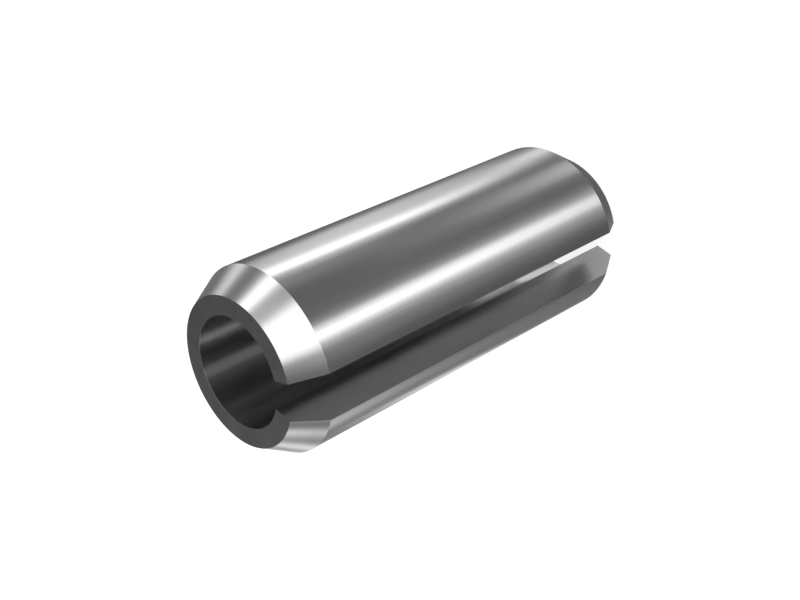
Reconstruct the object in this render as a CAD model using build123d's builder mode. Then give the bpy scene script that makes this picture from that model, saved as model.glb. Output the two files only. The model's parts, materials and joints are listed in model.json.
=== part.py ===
from build123d import *
import math
import os

# A slotted spring pin. One strip of spring steel is rolled into a C, and both ends are pressed to
# a cone that leads the pin into its hole. The strip's long edges face each other across the slot,
# and they stay square to the strip, so each slot face lies on a radius of the pin.
#
# The pin stands on its lower end. Z runs along it, the origin is on its axis at the lower end face,
# and the slot faces the front, which is -Y. Lengths are in millimetres and angles in degrees. They
# are the sizes of the free pin, before its hole squeezes the slot together.

outside_diameter = 12.8
strip_thickness = 2.6
length = 32.0
slot_angle = 30.0  # the arc that the rolled strip leaves open
chamfer_length = 2.2  # measured along the pin, the same at both ends
chamfer_angle = 30.0  # between the cone and the pin's axis
shoulder_radius = 0.06  # where each cone runs into the cylinder
edge_radius = 0.03  # the tumbled edge around the end faces and the slot faces

outside_radius = outside_diameter / 2
bore_radius = outside_radius - strip_thickness
chamfer_depth = chamfer_length * math.tan(math.radians(chamfer_angle))
end_radius = outside_radius - chamfer_depth

# The slot is centred on -Y, so the strip starts half a slot past that direction.
slot_direction = -90.0
strip_start = slot_direction + slot_angle / 2
strip_arc = 360.0 - slot_angle

os.makedirs("parts", exist_ok=True)


with BuildPart() as roll_pin:
    # The wall cut lengthwise, on the plane of the first slot face: its X is the distance from the
    # pin's axis and its Y is the height.
    with BuildSketch(Plane.XZ.rotated((0, 0, strip_start))) as wall_section:
        with BuildLine():
            Polyline(
                (bore_radius, 0),
                (end_radius, 0),
                (outside_radius, chamfer_length),
                (outside_radius, length - chamfer_length),
                (end_radius, length),
                (bore_radius, length),
                close=True,
            )
        make_face()

        shoulders = wall_section.vertices().group_by(Axis.X)[-1]
        fillet(shoulders, shoulder_radius)

        by_height = wall_section.vertices().group_by(Axis.Y)
        end_corners = by_height[0] + by_height[-1]
        fillet(end_corners, edge_radius)

    # Rolling the strip: the wall goes round the axis and stops short of a full turn by the slot.
    revolve(axis=Axis.Z, revolution_arc=strip_arc)

    # Each slot face is flat and stands along the pin, and its outline is the wall's section.
    flat_faces = roll_pin.faces().filter_by(GeomType.PLANE)
    slot_faces = flat_faces.filter_by(Axis.Z, reverse=True)
    fillet(slot_faces.edges(), edge_radius)

roll_pin.part.label = "roll_pin"
export_step(roll_pin.part, "parts/roll_pin.step")
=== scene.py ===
# %% [markdown]
# A slotted spring pin, dressed and photographed.
# The real pin starts as flat spring steel strip. Rollers bend it into an open C, a die presses a cone
# on each end so that the pin finds its hole, and it is hardened and tumbled. It is one piece of one
# steel, so the whole look comes from its form, from the marks that each of those steps leaves in the
# surface, and from what the studio lets the metal mirror.
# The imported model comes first. It fixes every size, and nothing below moves it.

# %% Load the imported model
import json
import math

import bpy
import numpy as np
from mathutils import Matrix, Vector


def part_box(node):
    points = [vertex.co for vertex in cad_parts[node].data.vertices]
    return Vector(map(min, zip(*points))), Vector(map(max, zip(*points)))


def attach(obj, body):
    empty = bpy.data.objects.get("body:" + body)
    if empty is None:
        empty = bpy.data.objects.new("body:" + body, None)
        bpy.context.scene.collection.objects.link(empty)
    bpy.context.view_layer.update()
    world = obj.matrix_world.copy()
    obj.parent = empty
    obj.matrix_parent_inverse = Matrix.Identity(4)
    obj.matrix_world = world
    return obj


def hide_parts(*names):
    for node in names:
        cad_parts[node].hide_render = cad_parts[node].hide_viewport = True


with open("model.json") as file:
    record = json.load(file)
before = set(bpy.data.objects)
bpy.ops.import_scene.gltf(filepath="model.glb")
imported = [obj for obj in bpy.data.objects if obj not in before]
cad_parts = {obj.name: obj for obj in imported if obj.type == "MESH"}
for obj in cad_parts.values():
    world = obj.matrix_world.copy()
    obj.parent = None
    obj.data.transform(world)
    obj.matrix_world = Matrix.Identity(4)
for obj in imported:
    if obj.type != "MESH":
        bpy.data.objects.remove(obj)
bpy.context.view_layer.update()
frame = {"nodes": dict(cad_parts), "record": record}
print("nodes:", sorted(frame["nodes"]))

# %% [markdown]
# Sizes. A skin that stands for the solid has to have its sizes, so they are read from the frame where
# it holds them: the box gives the length, and the two round mounts give the outside, the bore and the
# length of the plain cylinder between the cones. The angles and the small radii are no mount of
# anything, so they are stated again here. All lengths are in metres, as in the frame.
# The photograph's edges are crisp, so the radii are a few hundredths of a millimetre under the solid's.
# They aren't nothing, because an edge with no radius at all never catches the light.

# %% Sizes of the pin
MM = 0.001
mounts = {mount["name"]: mount["dims"] for mount in frame["record"]["mounts"]}

lowest_corner, highest_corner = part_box("roll_pin")
pin_length = highest_corner.z - lowest_corner.z
outside_radius = mounts["outside"]["r_mm"] * MM
bore_radius = mounts["bore"]["r_mm"] * MM
cone_length = (pin_length - mounts["outside"]["length_mm"] * MM) / 2
cone_angle = math.radians(30)
slot_angle = math.radians(30)
shoulder_radius = 0.02 * MM
edge_radius = 0.006 * MM
slot_edge_radius = 0.0054 * MM  # a little less, so that no corner of the outline shrinks to a point

end_radius = outside_radius - cone_length * math.tan(cone_angle)
middle_of_wall = (bore_radius + end_radius) / 2
print(f"pin {pin_length / MM:.2f} mm long, {2 * outside_radius / MM:.2f} mm across")
print(f"wall {(outside_radius - bore_radius) / MM:.2f} mm, cones {cone_length / MM:.2f} mm")

# %% [markdown]
# The section of the wall. Cut the pin lengthwise and one side of it is a long thin bar with a slanted
# corner at each end. A Bevel modifier could round such a bar, but it rounds every edge alike and
# leaves the shading to guesswork. Here each corner is an arc of its own radius, and every point knows
# which way its surface faces, so the highlights run over the corners as they do on real metal.

# %% A helper that rounds the corners of an outline
def rounded_outline(corners, radii, run_steps, arc_steps):
    """Points, outward normals and bends of a closed outline that goes anticlockwise.

    A corner of radius r that turns by an angle w is cut back along both its sides by r tan(w / 2).
    Between the two cuts lies an arc whose centre is r inwards from the first cut. A normal is the
    outline's direction, turned a quarter turn to the right. The bend is 0 on the straight runs. In
    the middle of each arc it is the corner's own turn, counted in right angles.
    """
    corners = np.array(corners)
    after = np.roll(corners, -1, axis=0) - corners
    after /= np.linalg.norm(after, axis=1)[:, None]
    before = np.roll(after, 1, axis=0)
    turn = np.arccos((before * after).sum(axis=1).clip(-1, 1))
    cut = (np.array(radii) * np.tan(turn / 2))[:, None]
    arc_starts = corners - cut * before
    run_starts = corners + cut * after
    run_ends = np.roll(arc_starts, -1, axis=0)

    points, normals, bends = [], [], []
    for corner in range(len(corners)):
        share = np.arange(arc_steps[corner])[:, None] / max(arc_steps[corner], 1)
        start_normal = np.array([before[corner, 1], -before[corner, 0]])
        turned = share * turn[corner]
        arc_normals = np.cos(turned) * start_normal + np.sin(turned) * before[corner]
        points.append(arc_starts[corner] + radii[corner] * (arc_normals - start_normal))
        normals.append(arc_normals)
        bends.append(4 * share[:, 0] * (1 - share[:, 0]) * turn[corner] / (math.pi / 2))

        share = np.arange(run_steps[corner])[:, None] / run_steps[corner]
        run_normal = np.array([after[corner, 1], -after[corner, 0]])
        points.append(run_starts[corner] + share * (run_ends[corner] - run_starts[corner]))
        normals.append(np.repeat(run_normal[None], run_steps[corner], axis=0))
        bends.append(np.zeros(run_steps[corner]))
    return np.concatenate(points), np.concatenate(normals), np.concatenate(bends)


# %% The outline of the wall
# The corners go from the middle of the lower end face out to its cone, up the outside, and back down
# through the bore. Each is a distance from the pin's axis and a height.
wall_corners = [
    (middle_of_wall, 0),
    (end_radius, 0),
    (outside_radius, cone_length),
    (outside_radius, pin_length - cone_length),
    (end_radius, pin_length),
    (middle_of_wall, pin_length),
    (bore_radius, pin_length),
    (bore_radius, 0),
]
corner_radii = [
    0, edge_radius, shoulder_radius, shoulder_radius,
    edge_radius, 0, edge_radius, edge_radius,
]

# How finely each straight run and each arc is divided.
face_steps = 4
cone_steps = 8
body_steps = 72
edge_steps = 3
shoulder_steps = 2
bore_steps = 2 * (cone_steps + shoulder_steps) + body_steps  # as many points inside as outside

run_steps = [
    face_steps, cone_steps, body_steps, cone_steps,
    face_steps, face_steps, bore_steps, face_steps,
]
arc_steps = [0, edge_steps, shoulder_steps, shoulder_steps, edge_steps, 0, edge_steps, edge_steps]

outline, outline_normal, outline_bend = rounded_outline(wall_corners, corner_radii, run_steps, arc_steps)
outline_gaps = np.linalg.norm(np.roll(outline, -1, axis=0) - outline, axis=1)
along_outline = np.concatenate([[0], np.cumsum(outline_gaps)])
print(f"outline: {len(outline)} points, {along_outline[-1] / MM:.1f} mm round")

# %% [markdown]
# Rolling the strip. The outline is carried round the axis from one slot face to the other, as the
# rollers carry the strip, and it stops short of a full turn by the slot. At both ends of that sweep the
# edge round the slot face is rounded too: the outline draws in along a quarter circle while it moves
# the last few thousandths of a millimetre. Then a flat grid closes the face. The normals come from the
# same formulas and are given to the mesh, so that the flats stay flat right up to their edges.

# %% Carry the outline round the axis
sweep_steps = 264  # 1.25 degrees each
rounding_steps = 3
first_face_angle = -math.pi / 2 + slot_angle / 2  # the slot is centred on -Y
full_turn = 2 * math.pi - slot_angle

quarter = np.linspace(0, math.pi / 2, rounding_steps + 1)[:-1]
facing_slot = np.concatenate([np.cos(quarter), np.zeros(sweep_steps + 1), np.cos(quarter[::-1])])
facing_out = np.sqrt(1 - facing_slot**2)
draw_in = slot_edge_radius * (1 - facing_out)
face_gap = slot_edge_radius * (1 - np.cos(quarter))
section_count = len(draw_in)


def around(angle):
    """Unit vectors away from the axis and round it, for an array of angles about Z."""
    flat = np.zeros_like(angle)
    away = np.stack([np.cos(angle), np.sin(angle), flat], axis=-1)
    along_turn = np.stack([-np.sin(angle), np.cos(angle), flat], axis=-1)
    return away, along_turn


def sweep_wall():
    """Places, normals and angles of the wall, as grids of sections by outline points.

    A section is the outline, drawn in along its own normals and turned about the axis. Near a slot
    face the angle is the one whose sine is the distance from the face over the point's radius, which
    keeps the section parallel to the face. The sections between share the rest of the turn evenly.
    A normal goes over from the slot face's to the outline's by the cosine and sine of one angle.
    """
    section = outline - draw_in[:, None, None] * outline_normal
    radius, height = section[..., 0], section[..., 1]
    near = np.arcsin(face_gap[:, None] / radius[:rounding_steps])
    first = np.arcsin(slot_edge_radius / radius[rounding_steps])
    share = np.linspace(0, 1, sweep_steps + 1)[:, None]
    middle = first + share * (full_turn - 2 * first)
    angle = first_face_angle + np.concatenate([near, middle, full_turn - near[::-1]])
    away, _ = around(angle)
    place = away * radius[..., None]
    place[..., 2] = height

    outline_facing = away * outline_normal[:, :1]
    outline_facing[..., 2] = outline_normal[:, 1]
    _, turn_first = around(np.array(first_face_angle))
    _, turn_last = around(np.array(first_face_angle + full_turn))
    is_first = (np.arange(section_count) < section_count / 2)[:, None]
    slot_facing = np.where(is_first, -turn_first, turn_last)[:, None]
    normal = facing_slot[:, None, None] * slot_facing + facing_out[:, None, None] * outline_facing
    normal /= np.linalg.norm(normal, axis=-1, keepdims=True)
    return place, normal, angle


wall_place, wall_normal, wall_angle = sweep_wall()
print("wall grid:", section_count, "sections of", len(outline), "points")

# %% Close the two slot faces
# The outer half of the outline and its inner half have as many points, and point k of one is about
# level with point k of the other, so straight rows between them fill the face.
half = len(outline) // 2
row_steps = 10


def slot_face(section):
    """Inner points of a slot face: each goes from the outer half to the inner half by even shares."""
    outer = wall_place[section, 1:half]
    inner = wall_place[section, :half:-1]
    share = np.arange(1, row_steps)[None, :, None] / row_steps
    return outer[:, None] + share * (inner - outer)[:, None]


slot_face_places = [slot_face(0), slot_face(section_count - 1)]
print("each slot face:", slot_face_places[0].shape[0], "rows of", row_steps, "steps")

# %% [markdown]
# Finishes by place. Rolling, pressing, cutting and tumbling each touch other parts of the pin. The
# material could ask for them through four materials with hard borders, but steel has none: one finish
# runs into the next. So each point carries a few weights between 0 and 1, which follow from the way
# its surface faces, and one material mixes the finishes by them.

# %% Weights of the finishes
def ramp(x, low, high):
    """0 below low, 1 above high, and a smooth S between them, 3 t squared less 2 t cubed."""
    t = ((x - low) / (high - low)).clip(0, 1)
    return t * t * (3 - 2 * t)


# Where each weight starts, and where it is full. A surface leans by the height of its normal: 0 on the
# cylinder, 0.5 on the cones and 1 on the end faces. The shoulders bend by only a third of a right
# angle, so they aren't edges.
CONE_LEANS = (0.05, 0.45)
END_FACE_LEANS = (0.55, 0.95)
EDGE_BENDS = (0.35, 0.65)

lean = np.abs(outline_normal[:, 1])
end_face_weight = ramp(lean, *END_FACE_LEANS)
cone_weight = ramp(lean, *CONE_LEANS) * (1 - end_face_weight)
outline_edge_weight = ramp(outline_bend, *EDGE_BENDS)

wall_shape = (section_count, len(outline))
# The end_face and slot_face weights also mark where the steel's grey gets painted shade.
wall_weights = {
    "cone": facing_out[:, None] * cone_weight,
    "end_face": facing_out[:, None] * end_face_weight,
    "slot_face": np.broadcast_to(facing_slot[:, None] ** 2, wall_shape),
    "edge": np.maximum(outline_edge_weight[None], (2 * facing_slot * facing_out)[:, None]),
}
print("weights:", ", ".join(wall_weights))

# %% [markdown]
# From numbers to a mesh. A sphere or a cylinder from the Add menu brings its own faces, and here the
# grids have to be joined by hand: their points go into one list, and each face is four places in it.
# Faces are written anticlockwise as seen from outside, so that they point outwards. The UV map is laid
# out in real millimetres, along the pin and across it, so that a pattern's scale can be thought of
# in lines to the millimetre.

# %% Join the grids into one closed mesh
def grid_corners(grid):
    """The four corners of each face of a grid. They go down the rows first."""
    return [grid[:-1, :-1], grid[1:, :-1], grid[1:, 1:], grid[:-1, 1:]]


def grid_quads(index):
    """Four-cornered faces of a grid of point numbers."""
    return np.stack(grid_corners(index), axis=-1).reshape(-1, 4)


def end_triangles(tip, row, forwards):
    """Three-cornered faces from one tip to each step of a row, taken forwards or backwards."""
    tips = np.full(len(row) - 1, tip)
    order = [tips, row[:-1], row[1:]] if forwards else [tips, row[1:], row[:-1]]
    return np.stack(order, axis=-1)


wall_index = np.arange(section_count * len(outline)).reshape(wall_shape)
wall_index_closed = np.concatenate([wall_index, wall_index[:, :1]], axis=1)
quad_groups = [grid_quads(wall_index_closed)]
triangle_groups = []

inner_count = (half - 1) * (row_steps - 1)  # points inside each slot face
next_index = wall_index.size
for section, is_first in ((0, True), (section_count - 1, False)):
    inner_index = next_index + np.arange(inner_count).reshape(half - 1, row_steps - 1)
    next_index += inner_count
    outer_edge = wall_index[section, 1:half, None]
    inner_edge = wall_index[section, :half:-1, None]
    rows = np.concatenate([outer_edge, inner_index, inner_edge], axis=1)
    foot, head = wall_index[section, 0], wall_index[section, half]
    quad_groups.append(grid_quads(rows if is_first else rows[:, ::-1]))
    triangle_groups.append(end_triangles(foot, rows[0], is_first))
    triangle_groups.append(end_triangles(head, rows[-1], not is_first))

quads = np.concatenate(quad_groups)
triangles = np.concatenate(triangle_groups)

face_places = [face.reshape(-1, 3) for face in slot_face_places]
face_normals = [np.broadcast_to(wall_normal[s, 0], (inner_count, 3)) for s in (0, section_count - 1)]
places = np.concatenate([wall_place.reshape(-1, 3)] + face_places)
normals = np.concatenate([wall_normal.reshape(-1, 3)] + face_normals)

pin_mesh = bpy.data.meshes.new("steel_pin")
pin_mesh.from_pydata(places.tolist(), [], quads.tolist() + triangles.tolist())
pin_mesh.shade_smooth()
pin_mesh.normals_split_custom_set_from_vertices(normals.tolist())
pin = bpy.data.objects.new("steel_pin", pin_mesh)
bpy.context.scene.collection.objects.link(pin)
print("steel_pin:", len(places), "points,", 2 * len(quads) + len(triangles), "triangles")

# %% Give each point its weights
for name, wall_weight in wall_weights.items():
    on_slot_faces = np.full(2 * inner_count, 1.0 if name == "slot_face" else 0.0)
    weight = np.concatenate([wall_weight.ravel(), on_slot_faces])
    attribute = pin_mesh.attributes.new(name=name, type="FLOAT", domain="POINT")
    attribute.data.foreach_set("value", weight.astype(np.float32))
    print(f"{name}: mean weight {weight.mean():.2f}")

# %% Lay out the UV map in millimetres
# On the wall, u follows the outline and v the turn at the outside radius. On a slot face, u is the
# height and v the distance from the axis.
wall_u = np.broadcast_to(along_outline, (section_count, len(outline) + 1))
wall_v = np.concatenate([wall_angle, wall_angle[:, :1]], axis=1) * outside_radius
wall_uv = np.stack([wall_u, wall_v], axis=-1) / MM
wall_corner_uv = np.stack(grid_corners(wall_uv), axis=2).reshape(-1, 2)

point_uv = np.stack([places[:, 2], np.hypot(places[:, 0], places[:, 1])], axis=-1) / MM
slot_face_quads = quads[len(quad_groups[0]):]
slot_face_uv = [point_uv[faces].reshape(-1, 2) for faces in (slot_face_quads, triangles)]
corner_uv = np.concatenate([wall_corner_uv] + slot_face_uv)
uv_map = pin_mesh.uv_layers.new(name="millimetres")
uv_map.uv.foreach_set("vector", corner_uv.astype(np.float32).ravel())
print(f"UV map: {np.ptp(corner_uv[:, 0]):.1f} by {np.ptp(corner_uv[:, 1]):.1f} mm")

# %% Check the skin against the solid
def open_edges(face_groups):
    """How many edges don't join exactly two faces. A face's sides are its points and the next ones."""
    sides = [np.stack([faces, np.roll(faces, -1, axis=1)], axis=-1) for faces in face_groups]
    edges = np.sort(np.concatenate([pairs.reshape(-1, 2) for pairs in sides]), axis=1)
    _, uses = np.unique(edges, axis=0, return_counts=True)
    return np.count_nonzero(uses != 2)


print("open edges:", open_edges([quads, triangles]))
mesh_box = np.array([places.min(axis=0), places.max(axis=0)])
solid_box = np.array([lowest_corner[:], highest_corner[:]])
print(f"skin and solid differ by {np.abs(mesh_box - solid_box).max() / MM:.4f} mm in their boxes")

# %% [markdown]
# Spring steel. Polished steel would mirror the studio sharply. Rolled and tumbled steel has a satin
# sheen: its colour is a plain neutral grey, and a middling roughness spreads each lamp into a soft
# streak. What tells it from plastic or chrome is finer. The rollers leave faint lines along the pin,
# outside and in the bore, and the die leaves fainter ones round the cones. The sheared end faces are
# matt, and tumbling has rubbed the edges matt. Painted shade darkens the end faces' grey a lot, and
# the slot faces' grey a little.
# All of it drifts a little from place to place. A picture of scratched steel could be laid over the
# mesh, but it would be blurred close up and would repeat. Noise, stretched along the pin or round it,
# has no such limits, and on the UV map its scale is in repeats to the real millimetre.

# %% Two helpers for any tree of nodes
def plug(tree, value, socket):
    """Links an output into the socket, or writes a plain number or colour on it."""
    if isinstance(value, bpy.types.NodeSocket):
        tree.links.new(value, socket)
    else:
        socket.default_value = value


def maths(tree, operation, *values):
    """The result of a Math node on one, two or three values."""
    node = tree.nodes.new("ShaderNodeMath")
    node.operation = operation
    for value, socket in zip(values, node.inputs):
        plug(tree, value, socket)
    return node.outputs[0]


# %% Patterns and weights
NOISE_DETAIL = 1.0  # one finer layer over the first
NOISE_ROUGHNESS = 0.55  # how much that layer counts


def noise(tree, coordinate, repeats):
    """Soft noise between 0 and 1, with its own number of repeats to the millimetre each way."""
    mapping = tree.nodes.new("ShaderNodeMapping")
    mapping.inputs["Scale"].default_value = (*repeats, 1)
    tree.links.new(coordinate, mapping.inputs["Vector"])
    texture = tree.nodes.new("ShaderNodeTexNoise")
    texture.inputs["Scale"].default_value = 1.0
    texture.inputs["Detail"].default_value = NOISE_DETAIL
    texture.inputs["Roughness"].default_value = NOISE_ROUGHNESS
    tree.links.new(mapping.outputs["Vector"], texture.inputs["Vector"])
    return texture.outputs["Fac"]


def weight_of(tree, name):
    """The pin's own weight of that name."""
    node = tree.nodes.new("ShaderNodeAttribute")
    node.attribute_name = name
    return node.outputs["Fac"]


def off_middle(tree, value):
    """Noise lies about evenly on both sides of 0.5. This is how far it is from there."""
    return maths(tree, "SUBTRACT", value, 0.5)


def mix_by_weight(tree, first, second, weight):
    """first where the weight is 0, second where it is 1, and even shares of both between."""
    node = tree.nodes.new("ShaderNodeMix")
    node.data_type = "FLOAT"
    plug(tree, weight, node.inputs["Factor"])
    plug(tree, first, node.inputs["A"])
    plug(tree, second, node.inputs["B"])
    return node.outputs["Result"]


# %% The marks of the tools
# Repeats to the millimetre, along the outline and across it.
FINE_LINES = (0.02, 3.5)
BROAD_LINES = (0.01, 1.1)
DIE_LINES = (4, 0.03)
CUT_GRAIN = (2, 3)
# Heights of the marks, as shares of LINE_DEPTH.
FINE_SHARE = 0.5
BROAD_SHARE = 1.5
DIE_SHARE = 0.5
CUT_SHARE = 0.15
LINE_DEPTH = 0.004 * MM


def tool_marks(tree, uv, cone, cut):
    """The marks' height, and the lines that go with it, each mixed from patterns by weight.

    The rolled surface has its broad and its fine lines added up. The die's lines take over by the
    weight of the cones, and then the grain by the weight of the cut faces.
    """
    fine, broad = noise(tree, uv, FINE_LINES), noise(tree, uv, BROAD_LINES)
    die, grain = noise(tree, uv, DIE_LINES), noise(tree, uv, CUT_GRAIN)
    rolled = maths(tree, "MULTIPLY_ADD", broad, BROAD_SHARE, maths(tree, "MULTIPLY", fine, FINE_SHARE))
    pressed = maths(tree, "MULTIPLY", die, DIE_SHARE)
    sheared = maths(tree, "MULTIPLY", grain, CUT_SHARE)
    height = mix_by_weight(tree, mix_by_weight(tree, rolled, pressed, cone), sheared, cut)
    lines = mix_by_weight(tree, mix_by_weight(tree, fine, die, cone), grain, cut)
    return height, lines


def bumped(tree, height):
    """The surface's normal, tilted by the slope of the marks."""
    bump = tree.nodes.new("ShaderNodeBump")
    bump.inputs["Distance"].default_value = LINE_DEPTH
    tree.links.new(height, bump.inputs["Height"])
    return bump.outputs["Normal"]


# %% The steel
# The drifts and GREY_LINES are changes over the whole range of a noise, from 0 to 1. It seldom leaves
# 0.2 to 0.8.
CLOUDS = (0.12, 0.4)  # repeats to the millimetre, as above
STEEL_GREY = 0.56
GREY_DRIFT = 0.06  # by the clouds
GREY_LINES = 0.05  # by the lines
END_FACE_PAINTED_SHADE = 0.3  # painted shade: how much darker the end faces' grey is made
SLOT_FACE_PAINTED_SHADE = 0.02  # painted shade: how much darker the slot faces' grey is made
SATIN = 0.24  # roughness of the pin's rolled and pressed surfaces
SATIN_DRIFT = 0.06  # by the clouds
MATT = 0.4  # roughness of the end faces and the rubbed edges


def spring_steel():
    """One steel, whose lines, sheen and grey follow the weights of the finishes.

    The grey is STEEL_GREY with its clouds and lines, darkened by painted shade on the end faces and,
    a little, on the slot faces. The roughness goes from SATIN to MATT by the weight of the edges and
    end faces, and has the same clouds.
    """
    material = bpy.data.materials.new("spring_steel")
    material.use_nodes = True
    tree = material.node_tree
    tree.nodes.clear()
    uv_node = tree.nodes.new("ShaderNodeUVMap")
    uv_node.uv_map = "millimetres"
    uv = uv_node.outputs["UV"]
    cone, edge = weight_of(tree, "cone"), weight_of(tree, "edge")
    end_face, slot_face_here = weight_of(tree, "end_face"), weight_of(tree, "slot_face")
    cut = maths(tree, "MAXIMUM", end_face, slot_face_here)
    height, lines = tool_marks(tree, uv, cone, cut)
    drift = off_middle(tree, noise(tree, uv, CLOUDS))

    grey = maths(tree, "MULTIPLY_ADD", drift, GREY_DRIFT, STEEL_GREY)
    grey = maths(tree, "MULTIPLY_ADD", off_middle(tree, lines), GREY_LINES, grey)
    # painted shade: the end faces' grey is darkened a lot, and the slot faces' a little
    grey = maths(tree, "MULTIPLY_ADD", end_face, -END_FACE_PAINTED_SHADE, grey)
    grey = maths(tree, "MULTIPLY_ADD", slot_face_here, -SLOT_FACE_PAINTED_SHADE, grey)
    roughness = mix_by_weight(tree, SATIN, MATT, maths(tree, "MAXIMUM", edge, end_face))
    roughness = maths(tree, "MULTIPLY_ADD", drift, SATIN_DRIFT, roughness)

    shader = tree.nodes.new("ShaderNodeBsdfPrincipled")
    shader.inputs["Metallic"].default_value = 1.0
    tree.links.new(grey, shader.inputs["Base Color"])
    tree.links.new(roughness, shader.inputs["Roughness"])
    tree.links.new(bumped(tree, height), shader.inputs["Normal"])
    output = tree.nodes.new("ShaderNodeOutputMaterial")
    tree.links.new(shader.outputs["BSDF"], output.inputs["Surface"])
    print("spring_steel:", len(tree.nodes), "nodes")
    return material


pin_mesh.materials.append(spring_steel())
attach(pin, "root")
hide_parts("roll_pin")

# %% [markdown]
# The studio. Bare metal has hardly a colour of its own: it shows what stands round it. The pin was
# photographed in a dim tent with tall soft boxes round it, which draw its two long streaks and the
# white patch on the cone. They could be area lamps, but a lamp has hard borders and shows its distance
# on so small a thing. Painted on the world by direction, as in a studio panorama, each box has soft
# edges and stays in place for every view. Azimuth 0 is in front of the slot and 90 to its right, and
# elevations run from -90, straight below, to 90.
# The camera alone sees a plain white world, at a strength of 1. Metal usually has to show a white
# backdrop too, or it looks cut out. This photograph's metal doesn't: its flanks are grey and its bore
# is nearly black against pure white, so here its mirrors get the tent and nothing else.

# %% A soft box painted on the world
HALF_TURN = 180  # in degrees, as all the studio's angles are


def map_smoothly(tree, value, dark_at, light_at):
    """0 at one value and 1 at the other, with a smooth S between them."""
    node = tree.nodes.new("ShaderNodeMapRange")
    node.interpolation_type = "SMOOTHSTEP"
    plug(tree, value, node.inputs["Value"])
    node.inputs["From Min"].default_value = dark_at
    node.inputs["From Max"].default_value = light_at
    return node.outputs["Result"]


def soft_box(tree, azimuth, elevation, centre, half_width, edge, bottom, top, fade, strength, lean=0):
    """A patch of light on the sky, as a strength by direction.

    It is lit in full up to half_width from its centre, less half an edge, and dark from half an edge
    more. Its bottom and top fade in the same way. The centre is at mid height and moves sideways by
    lean for each degree above that, so that a box can stand at a slant.
    """
    above_middle = maths(tree, "SUBTRACT", elevation, (bottom + top) / 2)
    centre_here = maths(tree, "MULTIPLY_ADD", above_middle, lean, centre)
    off_centre = maths(tree, "SUBTRACT", azimuth, centre_here)
    apart = maths(tree, "ABSOLUTE", maths(tree, "WRAP", off_centre, HALF_TURN, -HALF_TURN))
    across = map_smoothly(tree, apart, half_width + edge / 2, half_width - edge / 2)
    above = map_smoothly(tree, elevation, bottom - fade / 2, bottom + fade / 2)
    below = map_smoothly(tree, elevation, top + fade / 2, top - fade / 2)
    inside = maths(tree, "MULTIPLY", across, maths(tree, "MULTIPLY", above, below))
    return maths(tree, "MULTIPLY", inside, strength)


# %% The boxes of the studio
# They go round the pin by its right, its back and its left. Their values were fitted to the greys of the
# photograph's streaks and then rounded.
TENT = 0.13  # strength of the dim cloth between the boxes
SOFT_BOXES = {
    "pale ground at the right": dict(
        centre=100, lean=0.25, half_width=65, edge=60, bottom=-90, top=-35, fade=5, strength=0.06,
    ),
    "long strip below the camera": dict(
        centre=27, lean=-0.45, half_width=6.5, edge=10, bottom=-48, top=17, fade=18, strength=2.75,
    ),
    "its spill on the ground": dict(
        centre=60, lean=-1, half_width=21.5, edge=16, bottom=-93, top=-49, fade=75, strength=0.55,
    ),
    "big box beside the camera": dict(
        centre=51, lean=-0.15, half_width=28.5, edge=9, bottom=3, top=45, fade=48, strength=2.1,
    ),
    "faint box to its right": dict(
        centre=94, lean=-0.2, half_width=15, edge=6, bottom=26, top=65, fade=35, strength=1.4,
    ),
    "tall box at the right": dict(
        centre=116, lean=0.15, half_width=5.5, edge=20, bottom=-8, top=45, fade=75, strength=4,
    ),
    "low box at the right": dict(
        centre=124, lean=-1.75, half_width=12, edge=10, bottom=-78, top=-48, fade=10, strength=1.3,
    ),
    "strip behind at the right": dict(
        centre=134, lean=0.3, half_width=5, edge=10, bottom=-43, top=-14, fade=4, strength=3.2,
    ),
    "wide box behind that": dict(
        centre=153, lean=-0.4, half_width=20, edge=20, bottom=-42, top=-32, fade=15, strength=1,
    ),
    "thin strip below it": dict(
        centre=153, lean=0.5, half_width=10, edge=18, bottom=-50, top=-46, fade=3, strength=1.6,
    ),
    "slim box above it": dict(
        centre=163, lean=-0.8, half_width=1.5, edge=25, bottom=-20, top=2, fade=5, strength=2.4,
    ),
    "pale wall at the back": dict(
        centre=-168, lean=-2.4, half_width=28, edge=15, bottom=-60, top=35, fade=35, strength=0.09,
    ),
    "strip behind at the left": dict(
        centre=-135, half_width=10, edge=10, bottom=-60, top=0, fade=20, strength=1,
    ),
    "thin low strip at the left": dict(
        centre=-115, lean=1.5, half_width=8, edge=10, bottom=-39, top=-37, fade=10, strength=2,
    ),
    "slim box at the left": dict(
        centre=-110, lean=0.8, half_width=2, edge=20, bottom=-30, top=-7, fade=5, strength=2.2,
    ),
    "wide box above it": dict(
        centre=-100, lean=-0.6, half_width=23, edge=10, bottom=0, top=20, fade=5, strength=1.8,
    ),
    "its spill on the wall": dict(
        centre=-125, half_width=14, edge=20, bottom=0, top=25, fade=20, strength=0.4,
    ),
    "broad box at the left": dict(
        centre=-76, lean=-0.05, half_width=8, edge=16, bottom=-29, top=-15, fade=28, strength=2.8,
    ),
    "box in front at the left": dict(
        centre=-40, lean=-0.5, half_width=6, edge=50, bottom=-10, top=40, fade=30, strength=2.5,
    ),
    "ceiling": dict(
        centre=0, half_width=200, edge=10, bottom=65, top=100, fade=15, strength=1.6,
    ),
}


# %% The world
WHITE = (1, 1, 1, 1)


def tent_light(tree):
    """Strength of the tent's light by direction: its own, plus that of each soft box."""
    direction = tree.nodes.new("ShaderNodeTexCoord").outputs["Generated"]
    split = tree.nodes.new("ShaderNodeSeparateXYZ")
    tree.links.new(direction, split.inputs["Vector"])
    x, y, z = split.outputs
    azimuth = maths(tree, "DEGREES", maths(tree, "ARCTAN2", x, maths(tree, "MULTIPLY", y, -1)))
    elevation = maths(tree, "DEGREES", maths(tree, "ARCSINE", z))
    light = TENT
    for box in SOFT_BOXES.values():
        light = maths(tree, "ADD", soft_box(tree, azimuth, elevation, **box), light)
    return light


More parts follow.
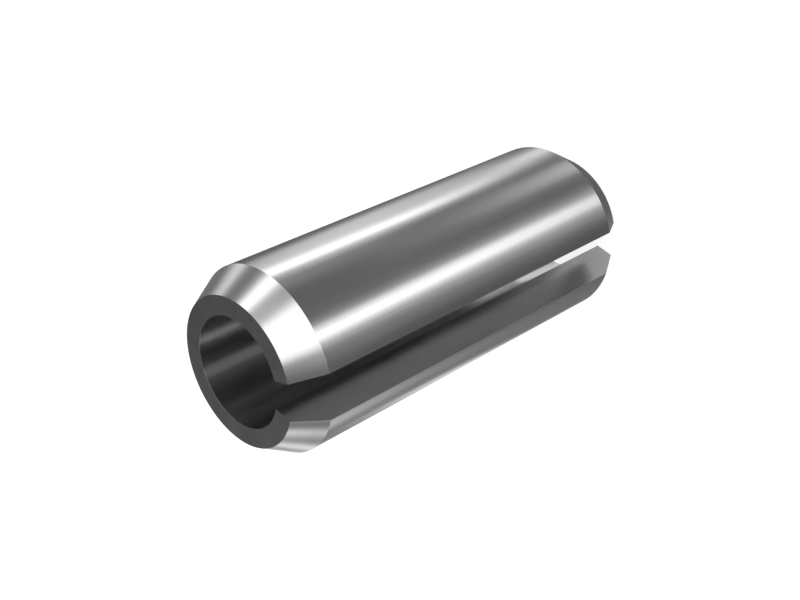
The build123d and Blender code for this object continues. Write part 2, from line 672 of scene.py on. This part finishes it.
def white_background(tree, strength):
    """A white Background shader of that strength."""
    node = tree.nodes.new("ShaderNodeBackground")
    node.inputs["Color"].default_value = WHITE
    plug(tree, strength, node.inputs["Strength"])
    return node.outputs["Background"]


def studio_world():
    """Paints the tent for the pin and plain white for the camera."""
    world = bpy.data.worlds.new("studio")
    world.use_nodes = True
    tree = world.node_tree
    tree.nodes.clear()
    chooser = tree.nodes.new("ShaderNodeMixShader")
    path = tree.nodes.new("ShaderNodeLightPath")
    tree.links.new(path.outputs["Is Camera Ray"], chooser.inputs["Fac"])
    tree.links.new(white_background(tree, tent_light(tree)), chooser.inputs[1])
    tree.links.new(white_background(tree, 1.0), chooser.inputs[2])
    output = tree.nodes.new("ShaderNodeOutputWorld")
    tree.links.new(chooser.outputs["Shader"], output.inputs["Surface"])
    return world


bpy.context.scene.world = studio_world()
print("studio:", len(SOFT_BOXES), "soft boxes")

# %% [markdown]
# The floor. A plain pale sheet that only catches the pin's shadow. A white sheet would fill the steel
# with white from below, where the photograph's tent is dim, so the floor is left out of reflections
# and lets the tent's light through. For the camera it glows nearly white by itself, and the tent's
# light on its pale grey adds the rest, which the pin's shadow takes away.

# %% The floor
FLOOR_GAP = 0.01 * MM  # so that the floor and the pin's foot don't share a plane
FLOOR_RADIUS = 1.5  # in metres, so that its rim is far off
FLOOR_RINGS = 12
FLOOR_SPOKES = 96
PAPER_GREY = 0.4
PAPER_GLOW = 0.84  # strength of its glow for the camera


def pale_floor():
    """A disc of rings about the pin: radius grows evenly, and each ring is one turn."""
    shape = (FLOOR_RINGS, FLOOR_SPOKES)
    radius = np.linspace(FLOOR_RADIUS / FLOOR_RINGS, FLOOR_RADIUS, FLOOR_RINGS)[:, None]
    angle = np.linspace(0, 2 * math.pi, FLOOR_SPOKES, endpoint=False)[None]
    height = np.full(shape, -FLOOR_GAP)
    rings = np.stack([radius * np.cos(angle), radius * np.sin(angle), height], axis=-1)
    points = np.concatenate([rings.reshape(-1, 3), [[0, 0, -FLOOR_GAP]]])
    index = np.arange(height.size).reshape(shape)
    index_closed = np.concatenate([index, index[:, :1]], axis=1)
    fan = end_triangles(len(points) - 1, index_closed[0], True)
    mesh = bpy.data.meshes.new("floor")
    mesh.from_pydata(points.tolist(), [], grid_quads(index_closed).tolist() + fan.tolist())
    disc = bpy.data.objects.new("floor", mesh)
    bpy.context.scene.collection.objects.link(disc)
    return disc


def floor_paper():
    """Pale matt paper that glows for the camera alone."""
    material = bpy.data.materials.new("floor_paper")
    material.use_nodes = True
    tree = material.node_tree
    shader = tree.nodes["Principled BSDF"]
    shader.inputs["Base Color"].default_value = (PAPER_GREY, PAPER_GREY, PAPER_GREY, 1)
    shader.inputs["Roughness"].default_value = 1.0
    shader.inputs["Specular IOR Level"].default_value = 0.0
    shader.inputs["Emission Color"].default_value = WHITE
    path = tree.nodes.new("ShaderNodeLightPath")
    glow = maths(tree, "MULTIPLY", path.outputs["Is Camera Ray"], PAPER_GLOW)
    tree.links.new(glow, shader.inputs["Emission Strength"])
    return material


floor = pale_floor()
floor.data.materials.append(floor_paper())
floor.visible_glossy = False
floor.visible_shadow = False
print("floor:", 2 * FLOOR_RADIUS, "m across")

# %% [markdown]
# The camera. In the photograph the pin floats at a slant. The model stands on its end, as a pin does
# on a bench, so the camera is what leans: it looks down on the upper end from the front right, and is
# rolled about its own line of sight until the upper end lies at the lower left.

# %% The camera
# Its place, roll and lens lay the model's edges over the photograph's.
VIEW_AZIMUTH = math.radians(37.36)
VIEW_ELEVATION = math.radians(38.44)
VIEW_ROLL = math.radians(-115.46)
VIEW_DISTANCE = 86.5 * MM
AIM = Vector((-0.22, -0.17, 17.87)) * MM  # what the middle of the picture shows
SENSOR_WIDTH = 36  # in millimetres, as Blender states lenses
FOCAL_LENGTH = 56.39
NEAREST_SEEN = 5 * MM
FARTHEST_SEEN = 10  # in metres

camera = bpy.data.objects.new("camera", bpy.data.cameras.new("camera"))
camera.data.sensor_width = SENSOR_WIDTH
camera.data.lens = FOCAL_LENGTH
camera.data.clip_start = NEAREST_SEEN
camera.data.clip_end = FARTHEST_SEEN
back = Vector((
    math.sin(VIEW_AZIMUTH) * math.cos(VIEW_ELEVATION),
    -math.cos(VIEW_AZIMUTH) * math.cos(VIEW_ELEVATION),
    math.sin(VIEW_ELEVATION),
))
upright = (-back).to_track_quat("-Z", "Y").to_matrix()
rolled = upright @ Matrix.Rotation(VIEW_ROLL, 3, "Z")
camera.matrix_world = Matrix.Translation(AIM + VIEW_DISTANCE * back) @ rolled.to_4x4()
bpy.context.scene.collection.objects.link(camera)
bpy.context.scene.camera = camera
print(f"camera: {camera.location.length / MM:.1f} mm from the middle of the foot")

# %% [markdown]
# The view. Blender's usual view transform would dull the white background, and Standard leaves it
# white.

# %% The view transform
bpy.context.scene.view_settings.view_transform = "Standard"
